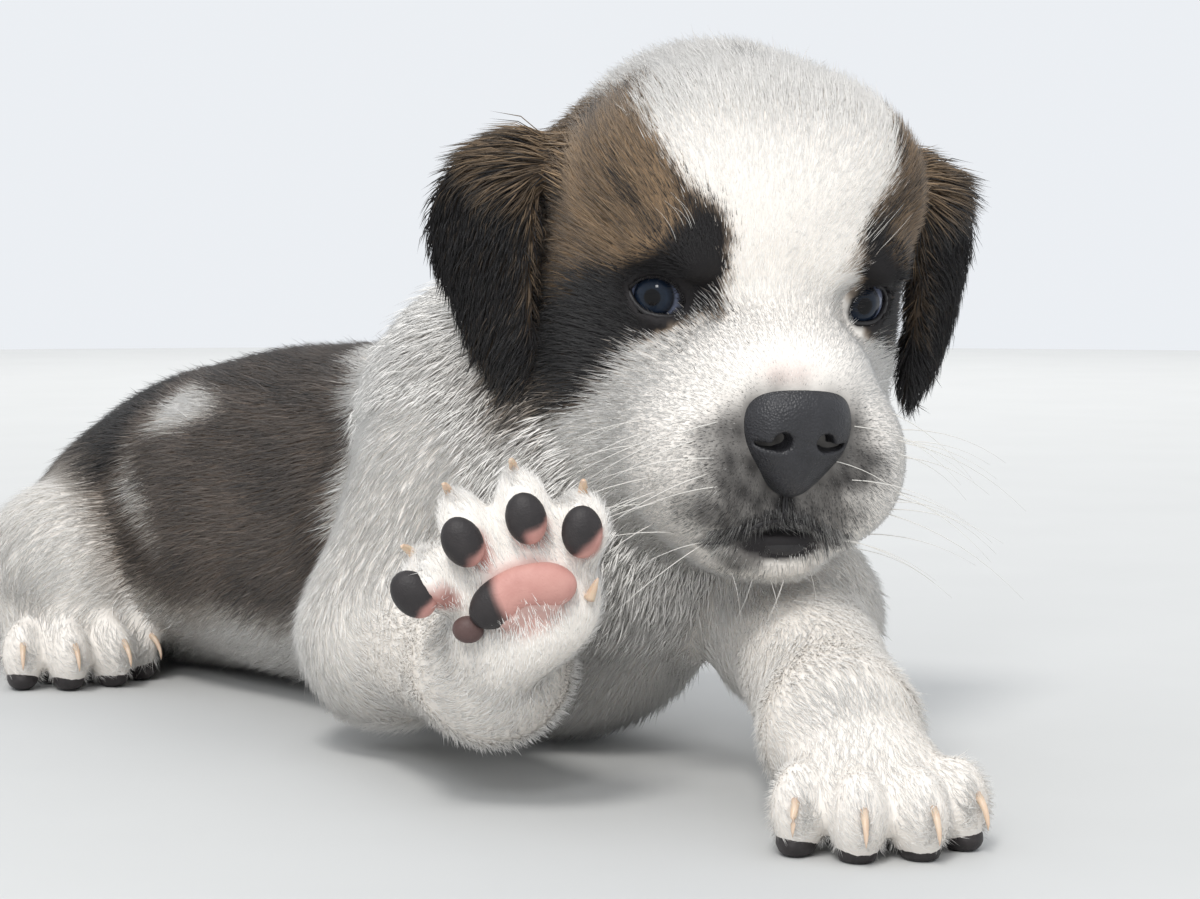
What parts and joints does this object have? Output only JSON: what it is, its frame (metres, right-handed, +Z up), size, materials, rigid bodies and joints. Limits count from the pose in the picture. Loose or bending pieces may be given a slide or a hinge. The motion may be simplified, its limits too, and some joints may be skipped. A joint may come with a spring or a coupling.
{
  "type": "dog figure",
  "caption": "Life-size model of a large-breed puppy lying on its belly with one forepaw raised, white and brown-black coat, drop ears and a dark nose",
  "frame": {"origin": "middle of the bounding box, on the floor that the puppy lies on", "axes": "+Z up; the spine runs along Y with the chest towards -Y; the puppy's left side is towards +X"},
  "size_m": [0.1772, 0.4892, 0.1755],
  "materials": {
    "white_coat": "soft short white fur",
    "sable_coat": "soft brown-grey sable fur",
    "dark_coat": "soft black-brown fur",
    "nose_leather": "damp pebbled black leather",
    "eye": "wet dark blue-grey eye"
  },
  "bodies": {
    "root": {"head": "white_coat", "nose": "nose_leather", "ear_left": "dark_coat", "ear_right": "dark_coat", "eye_left": "eye", "eye_right": "eye", "neck": "white_coat", "torso": "sable_coat", "tail": "white_coat", "foreleg_left": "white_coat", "foreleg_right": "white_coat", "forepaw_left": "white_coat", "forepaw_right": "white_coat", "hindleg_left": "white_coat", "hindleg_right": "white_coat", "hindpaw_left": "white_coat", "hindpaw_right": "white_coat"}
  },
  "joints": []
}
